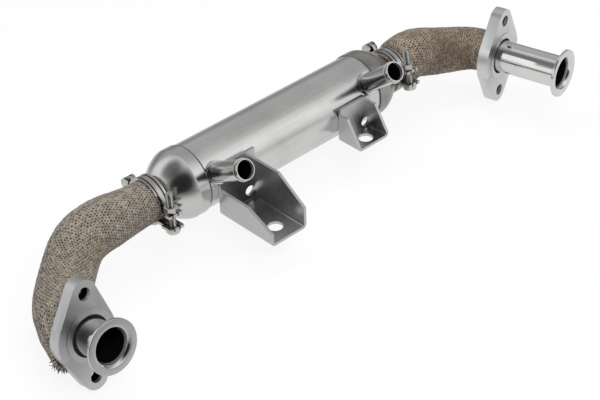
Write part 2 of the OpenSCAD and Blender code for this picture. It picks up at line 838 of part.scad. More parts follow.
module bellows(pipe) {
    s = bellows_stations(pipe);
    d = distances(s);
    last = len(s) - 1;
    crest = [
        for (i = [0:last]) i % 2 == 0 ? gas_r : bellows_crest(pipe, d[i], d[last] - d[i] + cuff_len)
    ];
    color(inner_steel) ring_pipe(
        [for (i = [0:last]) ring(s[i], crest[i], bellows_sides)],
        [for (i = [0:last]) ring(s[i], crest[i] - bellows_wall, bellows_sides)]
    );
}

module front_bellows() {
    bellows(front_pipe);
}

module rear_bellows() {
    bellows(rear_pipe);
}

// Knitted sleeve: raised stitches alternate along each row and from row to row
module sleeve(pipe) {
    s = sleeve_stations(pipe, stitch_len);
    d = distances(s);
    last = len(s) - 1;
    held = neck_end + seat_gap - cuff_start;
    lining = concat([for (i = [0:inner_rows:last - 1]) i], [last]);
    function inside(i) = sleeve_in(pipe, d[i] - held, d[last] - d[i]);
    function off(i) = hang(pipe, d[last] - d[i]);
    color(knit) ring_pipe(
        [for (i = [0:last]) ring(s[i], inside(i) + sleeve_wall, sleeve_sides, stitch_h, i % 2, off(i))],
        [for (i = lining) ring(s[i], inside(i), sleeve_sides, 0, 0, off(i))]
    );
}

module front_sleeve() {
    sleeve(front_pipe);
}

module rear_sleeve() {
    sleeve(rear_pipe);
}

// Rhomboid outline: two end circles joined to a middle circle by their common tangents.
// The middle circle is set off so that the two sides keep their own radii.
module flange_outline(left_r, right_r) {
    d = flange_spacing / 2;
    mid_r = (left_r + right_r) / 2;
    mid = [(right_r - left_r) / 2, 0];
    far = norm([mid[0], d]);
    slope = asin((mid_r - flange_end_r) / far);
    translate(mid) circle(mid_r);
    for (side = [-1, 1]) {
        end = [0, side * d];
        along = (end - mid) / far * sin(slope);
        across = [d, side * mid[0]] / far * cos(slope);
        translate(end) circle(flange_end_r);
        polygon([
            mid + mid_r * (along + across),
            end + flange_end_r * (along + across),
            end + flange_end_r * (along - across),
            mid + mid_r * (along - across)
        ]);
    }
}

module flange(face) {
    color(plate_steel) at_face(face) difference() {
        union() {
            translate([0, 0, -flange_t]) linear_extrude(flange_t) flange_outline(face[5], face[6]);
            translate([0, 0, -flange_t / 2]) cylinder(d = pad_d, h = flange_t / 2 + pad_h);
        }
        translate([0, 0, -flange_t - overcut])
            cylinder(r = gas_r + seat_gap, h = flange_t + pad_h + 2 * overcut);
        translate([0, 0, pad_h - groove_depth]) cylinder(r1 = gas_r, r2 = gas_r + groove, h = groove_depth);
        for (side = [-1, 1])
            translate([0, side * flange_spacing / 2, -flange_t - overcut])
                cylinder(d = flange_hole_d, h = flange_t + 2 * overcut);
    }
}

module front_flange() {
    flange(front_face);
}

module rear_flange() {
    flange(rear_face);
}

module gas_stub(face) {
    start = -flange_t - cuff_len;
    end = face[4];
    lip_r = lip_d / 2;
    color(bright_steel) at_face(face) rotate_extrude() polygon([
        [gas_in, start],
        [gas_r, start],
        [gas_r, end - lip_t - lip_cone],
        [lip_r, end - lip_t],
        [lip_r, end],
        for (i = [mouth_steps:-1:0]) let (a = 90 * i / mouth_steps)
            [gas_in + mouth * (1 - cos(a)), end - mouth * (1 - sin(a))]
    ]);
}

module front_gas_stub() {
    gas_stub(front_face);
}

module rear_gas_stub() {
    gas_stub(rear_face);
}

function numbered(name, i) = str(name, i < 10 ? "0" : "", i);

module in_frame() {
    translate(-datum) children();
}

SINGLE_NODES = [
    "cooler_shell", "front_end_cone", "rear_end_cone", "front_tube_plate", "rear_tube_plate",
    "front_coolant_stub", "rear_coolant_stub", "front_stub_collar", "rear_stub_collar",
    "front_bracket", "rear_bracket", "front_neck_cuff", "rear_neck_cuff",
    "front_flange_cuff", "rear_flange_cuff", "front_bellows", "rear_bellows",
    "front_sleeve", "rear_sleeve", "front_flange", "rear_flange", "front_gas_stub", "rear_gas_stub"
];

in_frame() cooler_shell();
in_frame() front_end_cone();
in_frame() rear_end_cone();
in_frame() front_tube_plate();
in_frame() rear_tube_plate();
in_frame() front_coolant_stub();
in_frame() rear_coolant_stub();
in_frame() front_stub_collar();
in_frame() rear_stub_collar();
in_frame() front_bracket();
in_frame() rear_bracket();
in_frame() front_neck_cuff();
in_frame() rear_neck_cuff();
in_frame() front_flange_cuff();
in_frame() rear_flange_cuff();
in_frame() front_bellows();
in_frame() rear_bellows();
in_frame() front_sleeve();
in_frame() rear_sleeve();
in_frame() front_flange();
in_frame() rear_flange();
in_frame() front_gas_stub();
in_frame() rear_gas_stub();
for (piece = CLAMP_PIECES) {
    in_frame() clamp_piece(front_clamp, piece);
    in_frame() clamp_piece(rear_clamp, piece);
}
for (i = [1:baffle_count])
    in_frame() baffle(i);
for (i = [1:tube_count])
    in_frame() gas_tube(i);
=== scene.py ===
"""Looks for the exhaust gas cooler: knit, turned pieces, fasteners, materials, light and camera."""
import math

import bpy
import numpy as np
from mathutils import Matrix, Vector


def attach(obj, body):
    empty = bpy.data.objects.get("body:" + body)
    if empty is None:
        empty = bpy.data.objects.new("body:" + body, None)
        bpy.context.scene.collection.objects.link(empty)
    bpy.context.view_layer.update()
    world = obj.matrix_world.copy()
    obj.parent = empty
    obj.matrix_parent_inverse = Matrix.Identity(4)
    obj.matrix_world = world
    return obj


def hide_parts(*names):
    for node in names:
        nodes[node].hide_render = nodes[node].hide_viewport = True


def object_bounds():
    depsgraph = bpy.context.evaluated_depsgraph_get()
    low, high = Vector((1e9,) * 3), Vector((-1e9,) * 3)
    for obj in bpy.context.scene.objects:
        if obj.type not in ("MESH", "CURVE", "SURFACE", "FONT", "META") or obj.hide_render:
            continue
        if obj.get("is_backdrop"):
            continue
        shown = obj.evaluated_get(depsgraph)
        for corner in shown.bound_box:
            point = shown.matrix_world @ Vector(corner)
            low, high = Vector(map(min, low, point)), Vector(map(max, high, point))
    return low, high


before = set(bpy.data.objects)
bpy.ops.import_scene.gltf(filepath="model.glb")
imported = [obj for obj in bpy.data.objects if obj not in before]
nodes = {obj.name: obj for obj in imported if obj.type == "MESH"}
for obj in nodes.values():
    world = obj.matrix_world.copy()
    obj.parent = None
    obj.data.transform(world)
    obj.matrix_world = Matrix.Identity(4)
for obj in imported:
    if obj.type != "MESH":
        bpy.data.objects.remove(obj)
cad_low, cad_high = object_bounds()

# Sizes of the part in millimetres, in the cooler's own frame, where the shell runs along X from its front end
DATUM = np.array([26.8, -72.6, -25.2])
SHELL_LEN, SHELL_R = 190.0, 28.5
SEAT_GAP = 0.1
SKIRT_LEN, NECK_END = 9.0, 44.0
DOME_LEN, DOME_FULLNESS = 22.0, 1.4
CONE_WALL = 1.0
CUFF_START, CUFF_LEN = 32.0, 11.0
FLANGE_T, FLANGE_SPACING, FLANGE_HOLE_R = 10.0, 66.0, 5.0
FLANGE_ROLL = math.radians(6)
PAD_H = 0.5
GAS_R, GAS_IN = 14.0, 13.0
LIP_R, LIP_T, LIP_CONE = 21.0, 2.4, 3.2
LIP_EDGE, MOUTH = 0.5, 4.0
GROOVE, GROOVE_DEPTH = 2.0, 4.0
STUB_IN, STUB_TIP = 7.6, 69.5
SLEEVE_ROOM, SLEEVE_WALL, SLEEVE_NECK_IN = 0.5, 2.0, 15.33
SLACK_ANGLE = math.radians(-50)
CLAMP_MID = 37.75
BOLT_OUT, BOLT_D, THREAD_OUT = 26.1, 6.0, 12.0
EAR_GAP, EAR_T = 10.0, 2.5
HEX_W, HEAD_H, NUT_H = 10.0, 4.0, 5.0

# Pipes: start and head give the beginning of a bend, face, turn and tilt its flange, leave, arrive, rise and
# pull its curve, and the rest the widths of its sleeve and the length of its gas stub; angles are in degrees
FRONT = dict(name="front", start=(-NECK_END - SEAT_GAP, 0, 0), head=(-1, 0, 0), face=(-166, -91, -5),
             turn=2, tilt=10, leave=86, arrive=68, rise=(0, 0, 6), pull=(20, 0, -1),
             mid_d=41.5, end_d=48.5, slack=6, swell=45, taper=26, gas_len=26)
REAR = dict(name="rear", start=(SHELL_LEN + NECK_END + SEAT_GAP, 0, 0), head=(1, 0, 0),
            face=(SHELL_LEN + 126, -55, -1), turn=12, tilt=1, leave=27, arrive=49, rise=(0, 0, 4.5),
            pull=(-5.5, 0, -5.5), mid_d=42, end_d=35.5, slack=0.2, swell=8, taper=70, gas_len=60)
PIPES = dict(front=FRONT, rear=REAR)
CLAMPS = dict(front=dict(x=-CLAMP_MID, roll=-3, drop=7), rear=dict(x=SHELL_LEN + CLAMP_MID, roll=-10, drop=0))
STUBS = dict(front=dict(x=10.0, tilt=29), rear=dict(x=180.0, tilt=38))

# Dark shades (soot with painted shade for bores; a dark for the world's spots and for painted shade in
# lines), how softly the soot and painted shade of bores begin in millimetres, lines of painted shade across
# the clamp bands and heights of fine relief in metres, the yarn's twist in radians to a stitch, and how
# narrow the gaps between stitches are
SOOT_AND_SHADE = (0.004, 0.004, 0.004)
DARK = (0.02, 0.02, 0.02)
BORE_SHADE_FADE = 3
BAND_SHADE_LINES, LINE_W = (-0.0030, 0.0022), 0.0012
GRAIN_HEIGHT, YARN_HEIGHT = 0.0004, 0.0005
PLY_RATE = 22.0
STITCH_SQUASH = 1.3


def to_row(points):
    """Points of the cooler's frame in millimetres as points of the row frame in metres."""
    return (np.asarray(points, float) - DATUM) / 1000


def smooth(t):
    """A soft step from nought to one."""
    t = np.clip(t, 0, 1)
    return t * t * (3 - 2 * t)


def unit(v):
    """A vector, or each of many, made one long."""
    v = np.asarray(v, float)
    return v / np.linalg.norm(v, axis=-1, keepdims=True)


def facing(pipe):
    """The way a flange faces."""
    t, l = math.radians(pipe["turn"]), math.radians(pipe["tilt"])
    return np.array([math.sin(t) * math.cos(l), -math.cos(t) * math.cos(l), math.sin(l)])


def flange_up(pipe):
    """The way from a flange's middle to its upper bolt hole."""
    t, l = math.radians(pipe["turn"]), math.radians(pipe["tilt"])
    across, up = math.sin(FLANGE_ROLL), math.cos(FLANGE_ROLL) * math.sin(l)
    return np.array([across * math.cos(t) - up * math.sin(t), across * math.sin(t) + up * math.cos(t),
                     math.cos(FLANGE_ROLL) * math.cos(l)])


def stub_way(stub):
    """The way a coolant stub points."""
    a = math.radians(stub["tilt"])
    return np.array([0, -math.cos(a), math.sin(a)])


# Nodes of the materials

def new_material(name):
    """A material with one plain shader, its node tree and that shader."""
    m = bpy.data.materials.new(name)
    m.use_nodes = True
    m.node_tree.nodes.clear()
    out = m.node_tree.nodes.new("ShaderNodeOutputMaterial")
    bsdf = m.node_tree.nodes.new("ShaderNodeBsdfPrincipled")
    m.node_tree.links.new(bsdf.outputs[0], out.inputs[0])
    return m, m.node_tree, bsdf


def put(tree, value, socket):
    """Sets a socket to a number or a colour, or links another socket to it."""
    if isinstance(value, (int, float)):
        socket.default_value = value
    elif isinstance(value, tuple):
        socket.default_value = (*value, 1)
    else:
        tree.links.new(value, socket)


def calc(tree, op, *values):
    """A sum or other reckoning of numbers and sockets."""
    n = tree.nodes.new("ShaderNodeMath")
    n.operation = op
    for i, v in enumerate(values):
        put(tree, v, n.inputs[i])
    return n.outputs[0]


def vector_calc(tree, op, a, b):
    """A vector sum or product; the second vector may be three plain numbers."""
    n = tree.nodes.new("ShaderNodeVectorMath")
    n.operation = op
    tree.links.new(a, n.inputs[0])
    if isinstance(b, tuple):
        n.inputs[1].default_value = b
    elif b is not None:
        tree.links.new(b, n.inputs[1])
    return n.outputs["Value"] if op in ("DOT_PRODUCT", "LENGTH") else n.outputs["Vector"]


def ramp(tree, source, stops):
    """A colour ramp; a stop is its place and a grey tone or a colour."""
    n = tree.nodes.new("ShaderNodeValToRGB")
    e = n.color_ramp.elements
    while len(e) < len(stops):
        e.new(0.5)
    for el, (at, tone) in zip(e, stops):
        el.position = at
        el.color = (*tone, 1) if isinstance(tone, tuple) else (tone, tone, tone, 1)
    tree.links.new(source, n.inputs[0])
    return n.outputs[0]


def place(tree):
    """The place of a point in the row frame."""
    return tree.nodes.new("ShaderNodeTexCoord").outputs["Object"]


def noise(tree, scale, detail=4.0, rough=0.55, stretch=(1, 1, 1)):
    """Noise over the row frame, stretched along its axes."""
    n = tree.nodes.new("ShaderNodeTexNoise")
    n.inputs["Scale"].default_value = scale
    n.inputs["Detail"].default_value = detail
    n.inputs["Roughness"].default_value = rough
    tree.links.new(vector_calc(tree, "MULTIPLY", place(tree), stretch), n.inputs["Vector"])
    return n.outputs["Fac"]


def mix_colour(tree, fac, a, b, mode="MIX"):
    """The colour a blended with b by a factor."""
    n = tree.nodes.new("ShaderNodeMix")
    n.data_type = "RGBA"
    n.blend_type = mode
    for i, v in ((0, fac), (6, a), (7, b)):
        put(tree, v, n.inputs[i])
    return n.outputs[2]


def span(tree, source, low, high):
    """The middle of a noise spread over a range."""
    n = tree.nodes.new("ShaderNodeMapRange")
    n.inputs["From Min"].default_value = 0.3
    n.inputs["From Max"].default_value = 0.7
    n.inputs["To Min"].default_value = low
    n.inputs["To Max"].default_value = high
    tree.links.new(source, n.inputs["Value"])
    return n.outputs[0]


def bore_mask(tree, origin, way, radius, depth):
    """One inside a bore, behind a depth along its axis, and nought elsewhere; it marks where soot and painted
    shade darken a bore.
    """
    rel = vector_calc(tree, "SUBTRACT", place(tree), tuple(to_row(origin)))
    far = vector_calc(tree, "LENGTH", vector_calc(tree, "CROSS_PRODUCT", rel, tuple(way)), None)
    along = vector_calc(tree, "DOT_PRODUCT", rel, tuple(way))
    inside = calc(tree, "LESS_THAN", far, radius / 1000)
    behind = calc(tree, "MULTIPLY_ADD", along, -1000 / BORE_SHADE_FADE, depth / BORE_SHADE_FADE)
    behind = calc(tree, "MINIMUM", calc(tree, "MAXIMUM", behind, 0.0), 1.0)
    return calc(tree, "MULTIPLY", inside, behind)


def shaded(tree, tone, cause, stops):
    """A tone multiplied by a ramp over its cause."""
    return mix_colour(tree, 1.0, tone, ramp(tree, cause, stops), "MULTIPLY")


def parts(tree, vector):
    """The X, Y and Z of a vector."""
    n = tree.nodes.new("ShaderNodeSeparateXYZ")
    tree.links.new(vector, n.inputs[0])
    return n.outputs


def relief(tree, bsdf, height, strength, size):
    """Fine relief of a surface, of a full height in metres."""
    n = tree.nodes.new("ShaderNodeBump")
    n.inputs["Strength"].default_value = strength
    n.inputs["Distance"].default_value = size
    tree.links.new(height, n.inputs["Height"])
    tree.links.new(n.outputs[0], bsdf.inputs["Normal"])


def steel(name, colour, low, high, grain=(1, 1, 1), grain_scale=900, depth=0.10, bump=0.0, blotch=0.10,
          edge=0.0, bores=(), lines=()):
    """Metal of a roughness from low to high, with drawn grain, cloudy patches and worn edges that also carry
    painted highlights.

    Its bores darken deeper in with soot and painted shade, and it has lines of painted shade at places along
    X.
    """
    m, tree, bsdf = new_material(name)
    bsdf.inputs["Metallic"].default_value = 1.0
    fine = noise(tree, grain_scale, 3, 0.6, grain)
    cloud = noise(tree, 28, 4, 0.6)
    dark = tuple(c * (1 - blotch) for c in colour)
    light = tuple(min(1, c * (1 + blotch * 0.6)) for c in colour)
    tone = ramp(tree, cloud, [(0.3, dark), (0.55, colour), (0.75, light)])
    tone = shaded(tree, tone, fine, [(0.35, 1 - depth), (0.65, 1.0)])
    # Lighter convex edges: wear, and painted highlights along them
    if edge:
        geo = tree.nodes.new("ShaderNodeNewGeometry")
        worn_and_lit_edge = ramp(tree, geo.outputs["Pointiness"], [(0.50, 0.0), (0.58, edge)])
        tone = mix_colour(tree, worn_and_lit_edge, tone, tuple(min(1, c * 1.4) for c in colour))
    gloss = calc(tree, "ADD", calc(tree, "MULTIPLY", cloud, 0.6), calc(tree, "MULTIPLY", fine, 0.4))
    rough = span(tree, gloss, low, high)
    # Lines of painted shade across X, where the profile of a clamp band lies in shade
    if lines:
        x = parts(tree, place(tree))[0]
        off = 1.0
        for line in lines:
            beside = calc(tree, "ABSOLUTE", calc(tree, "SUBTRACT", x, line))
            off = calc(tree, "MINIMUM", beside, off)
        line_shade = ramp(tree, calc(tree, "DIVIDE", off, LINE_W), [(0.4, 1.0), (0.7, 0.0)])
        tone = mix_colour(tree, line_shade, tone, DARK)
    # Painted shade deep in every bore, where its wall lies in shade, with soot as well in the gas stubs
    if bores:
        soot_shade_mask = 0.0
        for bore in bores:
            soot_shade_mask = calc(tree, "MAXIMUM", bore_mask(tree, *bore), soot_shade_mask)
        tone = mix_colour(tree, soot_shade_mask, tone, SOOT_AND_SHADE)
        rough = calc(tree, "MAXIMUM", rough, calc(tree, "MULTIPLY", soot_shade_mask, 0.8))
        shine = calc(tree, "SUBTRACT", 1.0, soot_shade_mask)
        tree.links.new(shine, bsdf.inputs["Metallic"])
        tree.links.new(calc(tree, "MULTIPLY", shine, 0.5), bsdf.inputs["Specular IOR Level"])
    tree.links.new(tone, bsdf.inputs["Base Color"])
    tree.links.new(rough, bsdf.inputs["Roughness"])
    if bump:
        relief(tree, bsdf, fine, bump, GRAIN_HEIGHT)
    return m


def rough_material(name, low, high, scale):
    """Dull, patchy surface of two shades, for braze and weld lines dark with painted shade, and for frayed
    yarn darkened partly by painted shade.
    """
    m, tree, bsdf = new_material(name)
    patches = noise(tree, scale, 4, 0.65)
    tree.links.new(ramp(tree, patches, [(0.35, low), (0.65, high)]), bsdf.inputs["Base Color"])
    bsdf.inputs["Roughness"].default_value = 0.85
    bsdf.inputs["Specular IOR Level"].default_value = 0.2
    return m


def knit_material(name, yarn, shade, warm, cloth):
    """Knit of twisted yarn with painted shade in the uneven gaps between its stitches, fuzz, painted light
    and shade across its strands, and warmer yarn in the bends.
    """
    m, tree, bsdf = new_material(name)
    uv = tree.nodes.new("ShaderNodeUVMap")
    uv.uv_map = "stitches"
    u, v, _ = parts(tree, uv.outputs[0])
    # Rows and wales of stitches, a little wavy, every other row half a stitch aside
    along = calc(tree, "ADD", v, span(tree, noise(tree, 260, 2), -0.10, 0.10))
    row = calc(tree, "FLOOR", along)
    across = calc(tree, "ADD", u, calc(tree, "MULTIPLY", calc(tree, "MODULO", row, 2.0), 0.5))
    across = calc(tree, "ADD", across, span(tree, noise(tree, 210, 2), -0.10, 0.10))
    wale = calc(tree, "FLOOR", across)
    # Each stitch has its own shade, and its own place and size of gap
    cell = tree.nodes.new("ShaderNodeCombineXYZ")
    tree.links.new(wale, cell.inputs[0])
    tree.links.new(row, cell.inputs[1])
    each = tree.nodes.new("ShaderNodeTexWhiteNoise")
    each.noise_dimensions = "2D"
    tree.links.new(cell.outputs[0], each.inputs["Vector"])
    own_x, own_y, own_size = parts(tree, each.outputs["Color"])
    x = calc(tree, "SUBTRACT", calc(tree, "FRACT", across), span(tree, own_x, 0.43, 0.57))
    y = calc(tree, "SUBTRACT", calc(tree, "FRACT", along), span(tree, own_y, 0.43, 0.57))
    wide = calc(tree, "MULTIPLY", calc(tree, "MULTIPLY", x, x), STITCH_SQUASH)
    dist = calc(tree, "SQRT", calc(tree, "ADD", wide, calc(tree, "MULTIPLY", y, y)))
    dist = calc(tree, "ADD", dist, span(tree, own_size, -0.08, 0.08))
    gap = ramp(tree, dist, [(0.17, 0.0), (0.47, 1.0)])
    # Yarn: warmer in bends and patches, twisted one way and the other in turn, with painted light and shade
    # across the twist
    fuzz = noise(tree, 1100, 3, 0.75)
    cloud = noise(tree, 45, 4, 0.6)
    bend = tree.nodes.new("ShaderNodeAttribute")
    bend.attribute_name = "bend"
    bent = calc(tree, "MULTIPLY", bend.outputs["Fac"], 0.8)
    tint = calc(tree, "ADD", bent, span(tree, cloud, -0.15, cloth))
    lean = calc(tree, "MULTIPLY_ADD", calc(tree, "MODULO", wale, 2.0), 2.0, -1.0)
    ply = calc(tree, "SINE", calc(tree, "MULTIPLY", calc(tree, "MULTIPLY_ADD", x, lean, y), PLY_RATE))
    tone = mix_colour(tree, ramp(tree, tint, [(0.0, 0.0), (1.0, 1.0)]), yarn, warm)
    tone = shaded(tree, tone, each.outputs["Value"], [(0.0, 0.70), (1.0, 1.2)])
    tone = shaded(tree, tone, fuzz, [(0.36, 0.55), (0.64, 1.4)])
    # Painted light and shade across the twisted strands
    tone = shaded(tree, tone, calc(tree, "MULTIPLY_ADD", ply, 0.5, 0.5), [(0.1, 0.68), (0.8, 1.15)])
    # The gaps between stitches take painted shade
    tree.links.new(mix_colour(tree, gap, shade, tone), bsdf.inputs["Base Color"])
    bsdf.inputs["Roughness"].default_value = 0.9
    bsdf.inputs["Specular IOR Level"].default_value = 0.25
    bsdf.inputs["Sheen Weight"].default_value = 0.1
    strand = calc(tree, "MULTIPLY_ADD", ply, 0.25, calc(tree, "MULTIPLY", fuzz, 0.5))
    relief(tree, bsdf, calc(tree, "ADD", gap, strand), 0.7, YARN_HEIGHT)
    return m


# Materials
BRIGHT_TONE = (0.68, 0.68, 0.67)
GAS_STUB_TONES = dict(front=(0.64, 0.64, 0.63), rear=(0.82, 0.82, 0.81))
FLANGE_TONES = dict(front=(0.54, 0.545, 0.55), rear=(0.65, 0.655, 0.66))
SHELL = steel("shell_steel", (0.79, 0.79, 0.78), 0.20, 0.28, grain=(0.03, 1, 1), depth=0.07, bump=0.02)
CONES = dict(
    front=steel("front_cone_steel", (0.70, 0.70, 0.69), 0.16, 0.22, grain=(0.4, 1, 1), depth=0.06),
    rear=steel("rear_cone_steel", (0.48, 0.475, 0.465), 0.20, 0.30, grain=(0.4, 1, 1), depth=0.10,
               blotch=0.3))
BRIGHT = steel("bright_steel", BRIGHT_TONE, 0.10, 0.16, grain=(1, 0.1, 1), depth=0.05, blotch=0.06)
BRACKET = steel("bracket_steel", (0.43, 0.43, 0.43), 0.24, 0.34, grain=(1, 1, 0.06), depth=0.10, edge=0.9)
ZINC = steel("zinc_steel", (0.55, 0.55, 0.53), 0.20, 0.34, grain_scale=1400, depth=0.12, blotch=0.2, edge=0.6)
INNER = steel("inner_steel", (0.42, 0.41, 0.39), 0.35, 0.5, grain_scale=700, blotch=0.15)
FRONT_KNIT = knit_material("front_knit", (0.37, 0.328, 0.272), (0.06, 0.05, 0.042), (0.36, 0.27, 0.18), 0.3)
REAR_KNIT = knit_material("rear_knit", (0.40, 0.335, 0.265), (0.055, 0.042, 0.034), (0.25, 0.18, 0.13), 0.6)
# Frayed yarn, darker partly of itself and partly with painted shade of the sleeve's underside
FRAYED_SHADED = rough_material("frayed_yarn_shaded", (0.05, 0.038, 0.03), (0.22, 0.165, 0.12), 900)
# A brazed seam, dark with painted shade of the gap at the skirt's edge
BRAZE_SHADE = rough_material("seam_braze_shade", (0.09, 0.09, 0.09), (0.24, 0.24, 0.23), 1500)
# The weld at a gas stub's root, nearly black with painted shade of its groove
WELD_SHADE = rough_material("weld_painted_shade", (0.012, 0.011, 0.010), (0.05, 0.045, 0.04), 1500)


def looks_of(name):
    """The material of a CAD node.

    A bore is a point of its axis, its way, a radius just over its own and how far along its soot and painted
    shade begin.
    """
    side = name.split("_")[0]
    if name == "cooler_shell":
        return SHELL
    if "end_cone" in name:
        return CONES[side]
    if "gas_stub" in name:
        pipe = PIPES[side]
        # The gas bore darkens with soot and painted shade
        bore = (pipe["face"], facing(pipe), GAS_IN + 0.4, pipe["gas_len"] - 2.0)
        return steel(name + "_steel", GAS_STUB_TONES[side], 0.08, 0.12, depth=0.05, blotch=0.06, bores=[bore])
    if "coolant_stub" in name:
        way = stub_way(STUBS[side])
        # The coolant bore darkens with painted shade only
        bore = ((STUBS[side]["x"], 0, 0), way, STUB_IN + 0.3, STUB_TIP - 0.5)
        return steel(name + "_steel", BRIGHT_TONE, 0.12, 0.18, depth=0.05, blotch=0.06, bores=[bore])
    if "collar" in name:
        return BRIGHT
    if name in ("front_flange", "rear_flange"):
        pipe = PIPES[side]
        # The bolt holes darken with painted shade only
        holes = [(np.array(pipe["face"]) + k * FLANGE_SPACING / 2 * flange_up(pipe), facing(pipe),
                  FLANGE_HOLE_R + 0.2, -0.5) for k in (-1, 1)]
        return steel(name + "_steel", FLANGE_TONES[side], 0.34, 0.44, grain_scale=1500, depth=0.08, edge=0.5,
                     bores=holes)
    if "bracket" in name:
        return BRACKET
    if name.endswith("_band"):
        x = to_row((CLAMPS[side]["x"], 0, 0))[0]
        inward = 1 if side == "front" else -1
        # A band's dark lines are painted shade in its profile
        return steel(name + "_zinc", (0.46, 0.46, 0.45), 0.14, 0.24, grain_scale=1400, blotch=0.15, edge=0.6,
                     lines=[x + inward * k for k in BAND_SHADE_LINES])
    if "clamp" in name:
        return ZINC
    return INNER


for name, obj in nodes.items():
    obj.data.materials.clear()
    obj.data.materials.append(looks_of(name))


# Pieces

def mesh_piece(name, points, faces, material, replaced=(), uv=None, bend=None):
    """A smooth mesh in the row frame that rides on the part."""
    me = bpy.data.meshes.new(name)
    me.from_pydata([tuple(p) for p in points], [], faces)
    me.validate()
    if uv is not None:
        layer = me.uv_layers.new(name="stitches")
        loops = np.empty(len(me.loops), int)
        me.loops.foreach_get("vertex_index", loops)
        layer.data.foreach_set("uv", uv[loops].astype(np.float32).ravel())
    if bend is not None:
        me.attributes.new("bend", "FLOAT", "POINT").data.foreach_set("value", bend.astype(np.float32))
    me.polygons.foreach_set("use_smooth", [True] * len(me.polygons))
    me.materials.append(material)
    o = bpy.data.objects.new(name, me)
    bpy.context.scene.collection.objects.link(o)
    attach(o, "root")
    if replaced:
        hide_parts(*replaced)
    return o


def ring_faces(count, size, closed, first=0):
    """Faces between rings of points."""
    faces = []
    for i in range(count if closed else count - 1):
        b0, b1 = first + i * size, first + ((i + 1) % count) * size
        for k in range(size):
            k1 = (k + 1) % size
            faces.append((b0 + k, b0 + k1, b1 + k1, b1 + k))
    return faces


# The greatest height of the hump below, and points along a sleeve's bend and its straight ends
HUMP_TOP = 0.4 ** 2 * 0.6 ** 3
BEND_STEPS, END_STEPS = 400, 60


def pipe_path(pipe, step):
    """Points and headings along a sleeve, from inside its clamp to its flange, and the distance along it."""
    n = facing(pipe)
    face, start, head = (np.array(pipe[k], float) for k in ("face", "start", "head"))
    p3 = face - (FLANGE_T + CUFF_LEN + SEAT_GAP) * n
    p1, p2 = start + pipe["leave"] * head, p3 - pipe["arrive"] * n
    t = np.linspace(0, 1, BEND_STEPS)[:, None]
    hump = t ** 2 * (1 - t) ** 3 / HUMP_TOP
    back = (1 - t) ** 2 * t ** 3 / HUMP_TOP
    bend = ((1 - t) ** 3 * start + 3 * (1 - t) ** 2 * t * p1 + 3 * (1 - t) * t * t * p2 + t ** 3 * p3
            + hump * np.array(pipe["rise"]) + back * np.array(pipe["pull"]))
    held = NECK_END + SEAT_GAP - CUFF_START
    k = np.linspace(0, 1, END_STEPS, endpoint=False)[:, None]
    first = start - held * head * (1 - k)
    end = face - (FLANGE_T + SLEEVE_ROOM) * n
    last = p3 + (end - p3) * np.linspace(0, 1, END_STEPS)[1:, None]
    line = np.vstack([first, bend, last])
    s = np.r_[0, np.cumsum(np.linalg.norm(np.diff(line, axis=0), axis=1))]
    at = np.linspace(0, s[-1], int(round(s[-1] / step)) + 1)
    pts = np.stack([np.interp(at, s, line[:, i]) for i in range(3)], 1)
    return pts, unit(np.gradient(pts, axis=0)), at, held


# Stitches round a sleeve and the length of a row, points to a stitch, heights of the knit's forms, the gaps
# between stitches, the radius that scales the bend, and the rows to one ring of the lining
WALES, COURSE = 50, 2.3
PER_WALE, PER_COURSE = 4, 4
STITCH_H, STITCH_LOW, SWAY_H, CREASE_H = 0.7, 0.3, 0.3, 0.45
GAP_FROM, GAP_EDGE = 0.10, 0.36
BEND_R = 21
LINING_STEP = 8
KNIT_SEED, FRINGE_SEED = 7, 11


def stitch_height(u, v, lift):
    """Relief of the knit: gaps between the stitches, staggered from row to row, each of its own height."""
    row = np.floor(v)
    over = u + 0.5 * np.mod(row, 2)
    x, y = np.mod(over, 1) - 0.5, np.mod(v, 1) - 0.5
    own = lift[row.astype(int) % lift.shape[0], np.floor(over).astype(int) % lift.shape[1]]
    return smooth((np.sqrt(STITCH_SQUASH * x * x + y * y) - GAP_FROM) / GAP_EDGE) * own


def sleeve_rings(pipe, step):
    """Stations of a sleeve: its middles, side and up vectors, inner radii and distances."""
    pts, head, at, held = pipe_path(pipe, step)
    side = unit(np.cross(head, [0, 0, 1]))
    up = np.cross(side, head)
    to_flange = at[-1] - at
    ending = smooth(1 - to_flange / pipe["taper"])
    middle, end = pipe["mid_d"] / 2 - SLEEVE_WALL, pipe["end_d"] / 2 - SLEEVE_WALL
    inner = (SLEEVE_NECK_IN + (middle - SLEEVE_NECK_IN) * smooth((at - held) / pipe["swell"])
             + (end - middle) * ending)
    hang = pipe["slack"] * ending
    centre = pts + hang[:, None] * (math.cos(SLACK_ANGLE) * side + math.sin(SLACK_ANGLE) * up)
    return centre, head, side, up, inner, at, held


